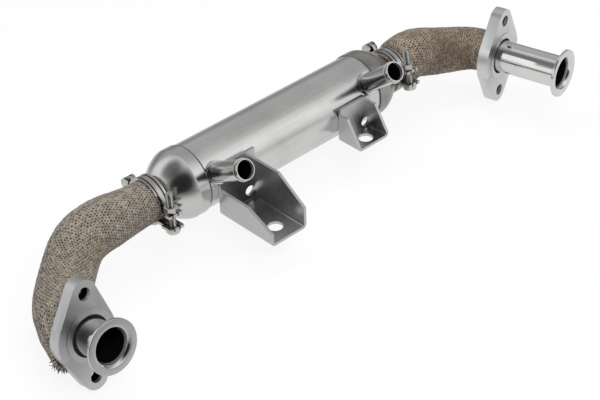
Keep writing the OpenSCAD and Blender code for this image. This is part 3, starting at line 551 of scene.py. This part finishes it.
def knitted_sleeve(pipe, material):
    """The sleeve's knit, with raised stitches outside and a plain lining."""
    centre, head, side, up, inner, at, held = sleeve_rings(pipe, COURSE / PER_COURSE)
    n_along, n_round = len(at), WALES * PER_WALE
    ang = np.linspace(0, 2 * math.pi, n_round, endpoint=False)
    ring = np.cos(ang)[None, :, None] * side[:, None, :] + np.sin(ang)[None, :, None] * up[:, None, :]
    u = np.arange(n_round)[None, :] / PER_WALE * np.ones((n_along, 1))
    v = (at / COURSE)[:, None] * np.ones((1, n_round))
    lift = 0.7 + 0.5 * np.random.default_rng(KNIT_SEED).random((200, WALES))
    free = smooth((at - held - 1) / 8)[:, None]
    sway = SWAY_H * np.sin(3 * ang + 0.9)[None, :] * np.sin(at / 17)[:, None]
    curve = np.gradient(head, at, axis=0)
    inward = np.einsum("ij,ikj->ik", curve, ring) * BEND_R
    crease = -CREASE_H * np.clip(inward, 0, 1) * np.sin(at / 2.1)[:, None] ** 2
    stitches = stitch_height(u, v, lift) * STITCH_H
    outer_r = inner[:, None] + SLEEVE_WALL - STITCH_LOW + stitches + (sway + crease) * free
    outer = centre[:, None, :] + outer_r[..., None] * ring
    rows = list(range(0, n_along - 1, LINING_STEP)) + [n_along - 1]
    lining = centre[rows][:, None, :] + (inner[rows][:, None] + 0.05)[..., None] * ring[rows]
    tips = [centre[i] + (inner[i] + SLEEVE_WALL / 2) * ring[i] for i in (-1, 0)]
    points = np.vstack([outer.reshape(-1, 3), tips[0], lining[::-1].reshape(-1, 3), tips[1]])
    count = n_along + len(rows) + 2
    uv = np.stack([
        np.tile(np.arange(n_round) / PER_WALE, count),
        np.concatenate([np.repeat(at / COURSE, n_round), np.full(n_round, at[-1] / COURSE),
                        np.repeat(at[rows][::-1] / COURSE, n_round), np.zeros(n_round)])], 1)
    warm = smooth(inward / 0.7)
    bend = np.concatenate([warm.ravel(), warm[-1], warm[rows][::-1].ravel(), warm[0]])
    name = pipe["name"] + "_sleeve"
    faces = ring_faces(count, n_round, True)
    return mesh_piece(name + "_knit", to_row(points), faces, material, [name], uv=uv, bend=bend)


def close_seam(obj):
    """Closes the stitch map where the last wale meets the first."""
    layer = obj.data.uv_layers["stitches"].data
    for poly in obj.data.polygons:
        us = [layer[i].uv[0] for i in poly.loop_indices]
        if max(us) - min(us) > WALES / 2:
            for i in poly.loop_indices:
                if layer[i].uv[0] < WALES / 2:
                    layer[i].uv[0] += WALES


STRAND_SIDES = 5


def strands(name, paths, radius, material):
    """Thin round strands, each along its own points."""
    ang = np.linspace(0, 2 * math.pi, STRAND_SIDES, endpoint=False)
    points, faces = [], []
    for path in paths:
        head = unit(np.gradient(path, axis=0))
        side = unit(np.cross(head, [0.3, 0.2, 0.93]))
        up = np.cross(side, head)
        first = sum(len(p) for p in points)
        thin = radius * np.linspace(1, 0.5, len(path))[:, None, None]
        ring = np.cos(ang)[None, :, None] * side[:, None, :] + np.sin(ang)[None, :, None] * up[:, None, :]
        points.append((path[:, None, :] + thin * ring).reshape(-1, 3))
        faces += ring_faces(len(path), STRAND_SIDES, False, first)
    mesh_piece(name, to_row(np.vstack(points)), faces, material)


FRINGE_COUNT, FRINGE_R = 80, 0.36


def frayed_end(pipe):
    """Loose yarn ends at the low side of a sleeve's flange end."""
    centre, head, side, up, inner, _, _ = sleeve_rings(pipe, 2.0)
    rng = np.random.default_rng(FRINGE_SEED)
    paths = []
    for _ in range(FRINGE_COUNT):
        a = SLACK_ANGLE + rng.normal(0.05, 0.36)
        out = math.cos(a) * side[-1] + math.sin(a) * up[-1]
        round_way = -math.sin(a) * side[-1] + math.cos(a) * up[-1]
        start = centre[-1] + (inner[-1] + rng.uniform(1.0, 2.2)) * out - head[-1] * rng.uniform(0.5, 5)
        length = rng.uniform(0.8, 3.0)
        way = unit(0.6 * out + 0.35 * rng.normal() * round_way + rng.uniform(-0.1, 0.5) * head[-1])
        curl = rng.normal(0, 1, 3) * 0.9
        t = np.linspace(0, 1, 6)[:, None]
        paths.append(start + length * t * way + t * t * curl)
    strands(pipe["name"] + "_sleeve_fringe", paths, FRINGE_R, FRAYED_SHADED)


for pipe, material in ((FRONT, FRONT_KNIT), (REAR, REAR_KNIT)):
    close_seam(knitted_sleeve(pipe, material))
frayed_end(FRONT)


def lathe(name, profile, origin, axis, material, steps=96, replaced=()):
    """A closed ring turned from a profile of radii and places along an axis."""
    axis = unit(axis)
    side = unit(np.cross(axis, [0.1, 0.2, 0.97]))
    up = np.cross(axis, side)
    ang = np.linspace(0, 2 * math.pi, steps, endpoint=False)
    ring = np.cos(ang)[:, None] * side + np.sin(ang)[:, None] * up
    points = np.vstack([np.array(origin, float) + z * axis + r * ring for r, z in profile])
    return mesh_piece(name, to_row(points), ring_faces(len(profile), steps, True), material, replaced)


# Steps round turned pieces and along their rounded sections, and the angle from which an edge is sharp
TURN_STEPS, SEAM_STEPS, DOME_STEPS, LIP_STEPS = 192, 160, 41, 25
SHARP_ANGLE = math.radians(32)


def dome_points(inset):
    """Half section of a dome from its skirt to its neck, at one offset inside its outer face."""
    a = np.linspace(0, math.pi / 2, DOME_STEPS)
    power = 2 / DOME_FULLNESS
    wide = SHELL_R + SEAT_GAP + CONE_WALL - GAS_R
    radius = GAS_R - inset + wide * np.clip(np.cos(a), 0, 1) ** power
    return list(zip(radius, SKIRT_LEN + (DOME_LEN - inset) * np.sin(a) ** power))


def split_edges(obj):
    """Keeps the sharp edges of a smooth piece."""
    obj.modifiers.new("edges", "EDGE_SPLIT").split_angle = SHARP_ANGLE


# End cones turned without facets
skirt_in = SHELL_R + SEAT_GAP
cone_profile = [(skirt_in + CONE_WALL, 0), *dome_points(0), (GAS_R, NECK_END), (GAS_IN, NECK_END),
                *reversed(dome_points(CONE_WALL)), (skirt_in, 0)]
for side_name, x, way in (("front", 0.0, -1), ("rear", SHELL_LEN, 1)):
    split_edges(lathe(side_name + "_end_cone_turned", cone_profile, (x, 0, 0), (way, 0, 0), CONES[side_name],
                      TURN_STEPS, [side_name + "_end_cone"]))

# Gas stubs turned without facets, with the edges of their lips rounded
for pipe in (FRONT, REAR):
    start, end = -FLANGE_T - CUFF_LEN, pipe["gas_len"]
    quarter = np.linspace(0, math.pi / 2, LIP_STEPS)
    rim = [(LIP_R - LIP_EDGE * (1 - math.cos(a)), end - LIP_T + LIP_EDGE * (1 - math.sin(a)))
           for a in quarter[::-4]]
    rim += [(LIP_R - LIP_EDGE * (1 - math.cos(a)), end - LIP_EDGE * (1 - math.sin(a))) for a in quarter[::4]]
    mouth = [(GAS_IN + MOUTH * (1 - math.cos(a)), end - MOUTH * (1 - math.sin(a))) for a in quarter[::-1]]
    profile = [(GAS_IN, start), (GAS_R, start), (GAS_R, end - LIP_T - LIP_CONE), *rim, *mouth]
    name = pipe["name"] + "_gas_stub"
    split_edges(lathe(name + "_turned", profile, pipe["face"], facing(pipe), nodes[name].data.materials[0],
                      TURN_STEPS, [name]))

# Brazed seams beside the skirts and weld lines at the roots of the gas stubs, both dark with painted shade of
# the gaps and grooves there
SEAM_FIT, SEAM_SIDE, SEAM_H = 0.04, 0.05, 0.5
ROOT_WELD_LOW, ROOT_WELD_TOP, WELD_FIT = 1.4, 0.7, 0.1
for side_name, x, way, wide in (("front", 0.0, 1, 2.0), ("rear", SHELL_LEN, -1, 0.8)):
    profile = [(SHELL_R + SEAM_FIT, SEAM_SIDE), (SHELL_R + SEAM_H, SEAM_SIDE), (SHELL_R + SEAM_FIT, wide)]
    lathe(side_name + "_seam_braze_shade", profile, (x, 0, 0), (way, 0, 0), BRAZE_SHADE, SEAM_STEPS)
for pipe in (FRONT, REAR):
    low, top = PAD_H - ROOT_WELD_LOW, PAD_H - ROOT_WELD_TOP
    wide = GAS_R + GROOVE * (1 - ROOT_WELD_LOW / GROOVE_DEPTH)
    profile = [(GAS_R + WELD_FIT, low), (wide - WELD_FIT, low), (wide, top), (GAS_R + WELD_FIT, top)]
    lathe(pipe["name"] + "_root_weld", profile, pipe["face"], facing(pipe), WELD_SHADE)


# Fasteners

def bolt_points(side, pts):
    """Points along a clamp bolt, with Z up the bolt from the middle of the gap, in the cooler's frame."""
    c = CLAMPS[side]
    roll = math.radians(c["roll"])
    x, y, z = pts[:, 0] - BOLT_OUT, pts[:, 2] - c["drop"], -pts[:, 1]
    across = math.cos(roll) * x - math.sin(roll) * y
    upward = math.sin(roll) * x + math.cos(roll) * y
    return np.stack([z + c["x"], across, upward], 1)


HEX_STEPS, HEX_CROWN, HEX_CHAMFER = 72, 0.97, math.radians(30)


def hex_rings(z0, z1, turned_low, turned_high, hole):
    """Rings of a hexagon with its corners turned down at one or both ends."""
    ang = np.linspace(0, 2 * math.pi, HEX_STEPS, endpoint=False)
    r = HEX_W / 2 / np.cos(np.mod(ang, math.pi / 3) - math.pi / 6)
    crown = HEX_W / 2 * HEX_CROWN
    drop = np.maximum(0, r - crown) * math.tan(HEX_CHAMFER)

    def ring(rad, z):
        return np.stack([rad * np.cos(ang), rad * np.sin(ang), z * np.ones_like(ang)], 1)
    rings = [ring(hole, z0), ring(crown if turned_low else r, z0)]
    if turned_low:
        rings.append(ring(r, z0 + drop))
    if turned_high:
        rings.append(ring(r, z1 - drop))
    return rings + [ring(crown if turned_high else r, z1), ring(hole, z1)]


# The thread, the chamfer of its tip, and the tiny middles that close the ends
THREAD_STEPS, THREAD_PITCH, THREAD_DEPTH = 24, 1.0, 0.45
RINGS_PER_TURN = 6
TIP_DROP, TIP_SLOPE = 0.7, 1.2
CENTRE, HEAD_CENTRE, SHANK_IN_HEAD = 0.01, 0.02, 0.5


def thread_rings(z0, z1, radius):
    """Rings of a threaded shank with a chamfered tip."""
    ang = np.linspace(0, 2 * math.pi, THREAD_STEPS, endpoint=False)
    rings = []
    for z in np.arange(z0, z1 + 1e-6, THREAD_PITCH / RINGS_PER_TURN):
        phase = np.mod(z / THREAD_PITCH - ang / (2 * math.pi), 1)
        thread = radius - THREAD_DEPTH * np.abs(2 * phase - 1)
        r = np.minimum(thread, radius - TIP_DROP + TIP_SLOPE * (z1 - z))
        rings.append(np.stack([r * np.cos(ang), r * np.sin(ang), np.full_like(ang, z)], 1))
    flat = np.array([CENTRE, CENTRE, 1])
    return [rings[0] * flat] + rings + [rings[-1] * flat]


for side_name in ("front", "rear"):
    under = EAR_GAP / 2 + EAR_T
    head = hex_rings(-under - HEAD_H, -under, True, False, HEAD_CENTRE)
    shank = thread_rings(-under - SHANK_IN_HEAD, under + NUT_H + THREAD_OUT, BOLT_D / 2)
    faces = ring_faces(len(head), HEX_STEPS, False)
    faces += ring_faces(len(shank), THREAD_STEPS, False, len(head) * HEX_STEPS)
    bolt = to_row(bolt_points(side_name, np.vstack(head + shank)))
    split_edges(mesh_piece(side_name + "_bolt_threaded", bolt, faces, ZINC,
                           [side_name + "_clamp_bolt"]))
    rings = hex_rings(under, under + NUT_H, True, True, BOLT_D / 2 + SEAT_GAP)
    nut = to_row(bolt_points(side_name, np.vstack(rings)))
    split_edges(mesh_piece(side_name + "_nut_chamfered", nut, ring_faces(len(rings), HEX_STEPS, True), ZINC,
                           [side_name + "_clamp_nut"]))


# Floor, surroundings and light

mid = (cad_low + cad_high) / 2

# Greys of the floor as the metal sees it: stops run from a metre in front of the part's middle to a metre
# behind it, or from a metre at its left to a metre at its right; the left is dimmed only in front
FLOOR_BACKWARD = [(0.0, 0.42), (0.20, 0.46), (0.34, 0.74), (0.60, 0.74), (0.72, 0.40), (1.0, 0.34)]
FLOOR_IN_FRONT = [(0.38, 1.0), (0.47, 0.0)]
FLOOR_RIGHTWARD = [(0.36, 0.25), (0.58, 1.0)]
FLOOR_GLOW = 0.88
FLOOR_HALF, FLOOR_GAP = 6, 0.0005


def seen_by(tree):
    """Whether a ray comes from the camera, and whether from a mirror-like or clear surface."""
    path = tree.nodes.new("ShaderNodeLightPath")
    return path.outputs["Is Camera Ray"], calc(
        tree, "MAXIMUM", path.outputs["Is Glossy Ray"], path.outputs["Is Transmission Ray"])


def floor_material():
    """Floor that shows as white and keeps the part's shadow faintly; the metal sees it in greys."""
    m, tree, bsdf = new_material("floor_white")
    bsdf.inputs["Base Color"].default_value = (0.86, 0.86, 0.86, 1)
    bsdf.inputs["Roughness"].default_value = 0.9
    camera, mirror = seen_by(tree)
    x, y, _ = parts(tree, place(tree))
    behind = calc(tree, "MULTIPLY_ADD", y, 0.5, 0.5)
    rightward = calc(tree, "MULTIPLY_ADD", x, 0.5, 0.5)
    tone = ramp(tree, behind, FLOOR_BACKWARD)
    tone = mix_colour(tree, ramp(tree, behind, FLOOR_IN_FRONT), tone,
                      shaded(tree, tone, rightward, FLOOR_RIGHTWARD))
    glow = tree.nodes.new("ShaderNodeEmission")
    tree.links.new(mix_colour(tree, camera, tone, (1.0, 1.0, 1.0)), glow.inputs["Color"])
    mix = tree.nodes.new("ShaderNodeMixShader")
    tree.links.new(calc(tree, "MULTIPLY", calc(tree, "MAXIMUM", camera, mirror), FLOOR_GLOW), mix.inputs[0])
    tree.links.new(bsdf.outputs[0], mix.inputs[1])
    tree.links.new(glow.outputs[0], mix.inputs[2])
    out = next(n for n in tree.nodes if n.type == "OUTPUT_MATERIAL")
    tree.links.new(mix.outputs[0], out.inputs[0])
    return m


CORNERS = ((-1, -1), (1, -1), (1, 1), (-1, 1))
floor_mesh = bpy.data.meshes.new("floor")
floor_mesh.from_pydata([(a * FLOOR_HALF, b * FLOOR_HALF, 0) for a, b in CORNERS], [], [(0, 1, 2, 3)])
floor_mesh.materials.append(floor_material())
floor = bpy.data.objects.new("floor", floor_mesh)
bpy.context.scene.collection.objects.link(floor)
floor.location = (mid[0], mid[1], cad_low[2] - FLOOR_GAP)
floor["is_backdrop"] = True

# The room is white to the camera. The metal sees it bright in front, above and at the left, grey behind at
# the right, and dark in two spots. A spot has its way, the cosines where it begins and is darkest, and its
# strength.
ROOM_FRONT = [(0.0, 0.58), (0.05, 0.62), (0.15, 0.80), (0.35, 0.95), (0.50, 1.0), (0.72, 1.0), (0.85, 0.80),
              (1.0, 0.70)]
ROOM_BACK = [(0.0, 0.20), (0.15, 0.28), (0.42, 0.47), (0.66, 0.45), (0.82, 0.43), (1.0, 0.60)]
ROOM_TURN = [(0.62, 0.0), (0.76, 1.0)]
DARK_SPOTS = (((-0.56, -0.68, 0.47), 0.60, 0.91, 1.0), ((-0.49, 0.17, 0.855), 0.84, 0.97, 0.80))
ROOM_LIGHT = 0.45
world = bpy.data.worlds.new("studio")
bpy.context.scene.world = world
world.use_nodes = True
wt = world.node_tree
wt.nodes.clear()
w_out = wt.nodes.new("ShaderNodeOutputWorld")
w_light = wt.nodes.new("ShaderNodeBackground")
w_light.inputs["Color"].default_value = (1, 1, 1, 1)
w_light.inputs["Strength"].default_value = ROOM_LIGHT
w_seen = wt.nodes.new("ShaderNodeBackground")
w_seen.inputs["Strength"].default_value = 1.0
w_way = wt.nodes.new("ShaderNodeTexCoord").outputs["Generated"]
w_x, w_y, w_z = parts(wt, w_way)
w_side = calc(wt, "MULTIPLY_ADD", calc(wt, "MULTIPLY_ADD", w_y, 0.6, w_x), 0.5, 0.5)
w_room = mix_colour(wt, ramp(wt, w_side, ROOM_TURN), ramp(wt, w_z, ROOM_FRONT), ramp(wt, w_z, ROOM_BACK))
for spot, edge, core, most in DARK_SPOTS:
    near = vector_calc(wt, "DOT_PRODUCT", w_way, tuple(unit(spot)))
    w_room = mix_colour(wt, ramp(wt, near, [(edge, 0.0), (core, most)]), w_room, DARK)
w_camera, w_mirror = seen_by(wt)
wt.links.new(mix_colour(wt, w_camera, w_room, (1.0, 1.0, 1.0)), w_seen.inputs["Color"])
w_mix = wt.nodes.new("ShaderNodeMixShader")
wt.links.new(calc(wt, "MAXIMUM", w_camera, w_mirror), w_mix.inputs[0])
wt.links.new(w_light.outputs[0], w_mix.inputs[1])
wt.links.new(w_seen.outputs[0], w_mix.inputs[2])
wt.links.new(w_mix.outputs[0], w_out.inputs[0])


def area(name, size, where, power):
    """A soft lamp that looks at the part and stays out of its mirror images."""
    d = bpy.data.lights.new(name, "AREA")
    d.shape = "RECTANGLE"
    d.size, d.size_y = size
    d.energy = power
    o = bpy.data.objects.new(name, d)
    bpy.context.scene.collection.objects.link(o)
    o.location = mid + Vector(where)
    o.rotation_euler = (-Vector(where)).to_track_quat("-Z", "Y").to_euler()
    o.visible_glossy = False


area("key", size=(1.2, 0.8), where=(-0.5, -1.1, 1.5), power=22)
area("top", size=(1.6, 0.6), where=(0.2, 0.3, 1.8), power=14)

# A white card beside the rear gas stub, seen only in mirror images
CARD_SIZE, CARD_AWAY = 45.0, 85.0
CARD_WAY = unit((-0.82, 0.32, 0.48))
tube_mid = np.array(REAR["face"], float) + 0.5 * REAR["gas_len"] * facing(REAR)
card_mid = tube_mid + CARD_AWAY * CARD_WAY
card_x = unit(np.cross(CARD_WAY, facing(REAR))) * CARD_SIZE / 2
card_y = facing(REAR) * CARD_SIZE / 2
card_mesh = bpy.data.meshes.new("card")
card_points = [tuple(to_row(card_mid + a * card_x + b * card_y)) for a, b in CORNERS]
card_mesh.from_pydata(card_points, [], [(0, 1, 2, 3)])
card_material, _, card_bsdf = new_material("card_white")
card_bsdf.inputs["Base Color"].default_value = (0, 0, 0, 1)
card_bsdf.inputs["Emission Color"].default_value = (1, 1, 1, 1)
card_bsdf.inputs["Emission Strength"].default_value = 1.0
card_mesh.materials.append(card_material)
card = bpy.data.objects.new("card", card_mesh)
bpy.context.scene.collection.objects.link(card)
card.visible_camera = card.visible_diffuse = card.visible_shadow = False
card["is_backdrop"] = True

# Camera of the photograph: its focal length in pixels, its turns, and its eye in the cooler's frame

F_PX, WIDTH_PX, SENSOR_MM = 1586.4, 600, 36
YAW, PITCH_DOWN, ROLL = math.radians(42.41), math.radians(36.0), math.radians(-2.05)
EYE = (-625.35, -816.13, 719.97)
level_part = math.cos(PITCH_DOWN)
look = Vector((math.sin(YAW) * level_part, math.cos(YAW) * level_part, -math.sin(PITCH_DOWN)))
level = Vector((math.cos(YAW), -math.sin(YAW), 0))
above = level.cross(look)
cam_x = math.cos(ROLL) * level + math.sin(ROLL) * above
cam_y = -math.sin(ROLL) * level + math.cos(ROLL) * above
cam_data = bpy.data.cameras.new("camera")
cam_data.sensor_width = SENSOR_MM
cam_data.lens = F_PX / WIDTH_PX * SENSOR_MM
cam_data.clip_start, cam_data.clip_end = 0.05, 50
cam = bpy.data.objects.new("camera", cam_data)
bpy.context.scene.collection.objects.link(cam)
turn = Matrix((cam_x, cam_y, -look)).transposed().to_4x4()
cam.matrix_world = Matrix.Translation(Vector(to_row(EYE))) @ turn
bpy.context.scene.camera = cam
bpy.context.scene.view_settings.view_transform = "Standard"

low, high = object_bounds()
